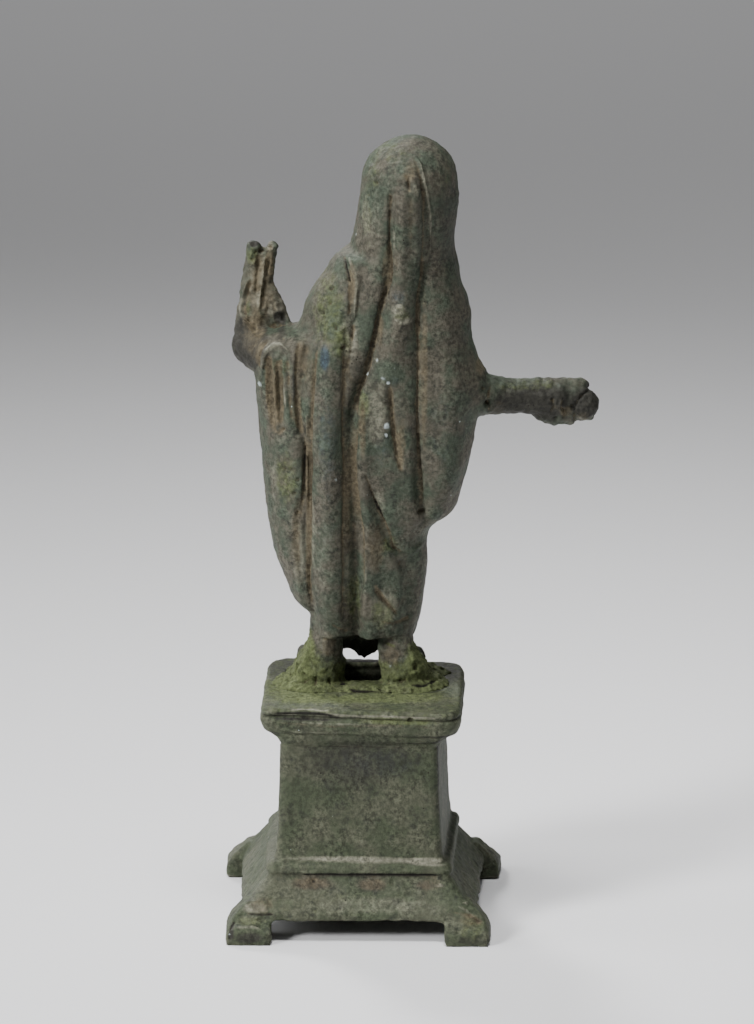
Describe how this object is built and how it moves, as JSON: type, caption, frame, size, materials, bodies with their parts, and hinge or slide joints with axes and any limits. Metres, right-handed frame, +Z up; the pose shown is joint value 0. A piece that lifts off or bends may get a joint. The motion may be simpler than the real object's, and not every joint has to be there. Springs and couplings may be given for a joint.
{
  "type": "bronze household statuette",
  "caption": "Small cast bronze figure in a toga and veil with an arm held out and a hand raised, standing on a hollow square pedestal with corner feet.",
  "frame": {"origin": "middle of the ground under the whole part, at the underside of the pedestal's feet", "axes": "+Z up; the figure faces +Y; its right arm is held out towards +X"},
  "size_m": [0.0564, 0.0406, 0.119],
  "materials": {
    "figure_bronze": "dark grey-green patina with brown dirt in the folds",
    "pedestal_bronze": "grey-green patina, rough on top of the slab"
  },
  "bodies": {
    "root": {"figure": "figure_bronze", "pedestal": "pedestal_bronze"}
  },
  "joints": []
}
